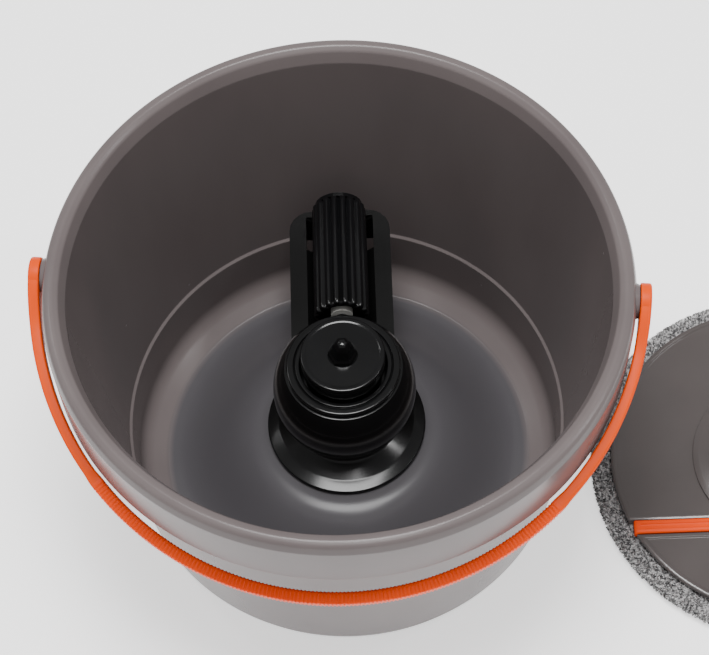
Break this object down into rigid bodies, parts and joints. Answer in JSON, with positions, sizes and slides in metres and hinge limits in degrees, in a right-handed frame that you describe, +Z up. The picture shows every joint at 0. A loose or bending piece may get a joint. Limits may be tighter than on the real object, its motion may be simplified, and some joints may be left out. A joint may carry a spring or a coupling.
{
  "type": "spin mop",
  "caption": "Round pail with a hinged bail and, inside it, a free-turning seat and fluted roller that wash a round flat mop head lying beside it.",
  "frame": {"origin": "on the pail's axis, at the flat underside of the centre clamp, level with the foot ring the pail stands on", "axes": "+Z up along the pail's axis, +X from the pail towards the mop head lying beside it, +Y from the turning seat along the roller"},
  "size_m": [0.6462, 0.3863, 0.245],
  "materials": {
    "pail_grey": "smooth moulded grey plastic with a soft gloss",
    "unit_black": "polished black moulded plastic",
    "bail_orange": "satin orange plastic",
    "plate_grey": "glossy dark grey plastic",
    "steel": "turned stainless steel",
    "rubber": "black sealing rubber",
    "nylon": "natural nylon",
    "microfibre": "grey and white looped microfibre"
  },
  "bodies": {
    "pail": {"pail_shell": "pail_grey", "base_gasket": "rubber", "centre_clamp": "unit_black", "base_flange": "unit_black", "dish_screw_1": "steel", "dish_screw_2": "steel", "dish_screw_3": "steel", "screw_seal_1": "rubber", "screw_seal_2": "rubber", "screw_seal_3": "rubber", "ball_housing": "unit_black", "seat_ring": "unit_black", "bearing_carrier": "unit_black", "upper_bush": "nylon", "lower_bush": "nylon", "thrust_washer": "steel", "roller_cradle": "unit_black", "cradle_screw_left": "steel", "cradle_screw_right": "steel", "axle_block": "unit_black", "roller_axle": "steel", "bail_pin_left": "pail_grey", "bail_pin_right": "pail_grey"},
    "seat": {"spin_seat": "unit_black", "spindle_shaft": "steel"},
    "roller": {"scrub_roller": "unit_black", "roller_bush_near": "nylon", "roller_bush_far": "nylon"},
    "bail": {"bail_handle": "bail_orange"},
    "head": {"mop_pad": "microfibre", "hook_fastener": "microfibre", "mop_plate": "plate_grey", "hinge_strip": "bail_orange", "hub_cover": "plate_grey", "spindle_socket": "unit_black"},
    "flap": {"foot_flap": "plate_grey"},
    "swivel": {"turntable": "unit_black", "lower_cross_pin": "steel"},
    "fork": {"tilt_fork": "unit_black", "upper_cross_pin": "steel"},
    "socket": {"handle_socket": "plate_grey"},
    "button": {"lock_button": "bail_orange"}
  },
  "joints": [
    {"name": "seat_spin", "type": "hinge", "parent": "pail", "child": "seat", "pos_m": [0, 0, 0.143], "axis": [0, 0, 1], "continuous": true},
    {"name": "roller_spin", "type": "hinge", "parent": "pail", "child": "roller", "pos_m": [0, 0.09, 0.1195], "axis": [0, 1, 0], "continuous": true},
    {"name": "bail_swing", "type": "hinge", "parent": "pail", "child": "bail", "pos_m": [0, 0, 0.23], "axis": [-0.9956, 0.0941, 0], "range_deg": [0, 215.6]},
    {"name": "head_lift", "type": "slide", "parent": "pail", "child": "head", "axis": [0, 0, 1], "range_m": [0, 0.12]},
    {"name": "flap_fold", "type": "hinge", "parent": "head", "child": "flap", "pos_m": [0.311, -0.079, 0.0185], "axis": [-1, 0, 0], "range_deg": [0, 60]},
    {"name": "head_swivel", "type": "hinge", "parent": "head", "child": "swivel", "pos_m": [0.311, -0.0285, 0.03], "axis": [0, 0, 1], "continuous": true},
    {"name": "fork_tilt", "type": "hinge", "parent": "swivel", "child": "fork", "pos_m": [0.311, -0.0285, 0.048], "axis": [1, 0, 0], "range_deg": [-50, 50]},
    {"name": "socket_tilt", "type": "hinge", "parent": "fork", "child": "socket", "pos_m": [0.311, -0.0285, 0.066], "axis": [0, 1, 0], "range_deg": [-30, 30]},
    {"name": "button_press", "type": "slide", "parent": "socket", "child": "button", "axis": [0, 1, 0], "range_m": [0, 0.0015], "stiffness_N_per_m": 300}
  ]
}
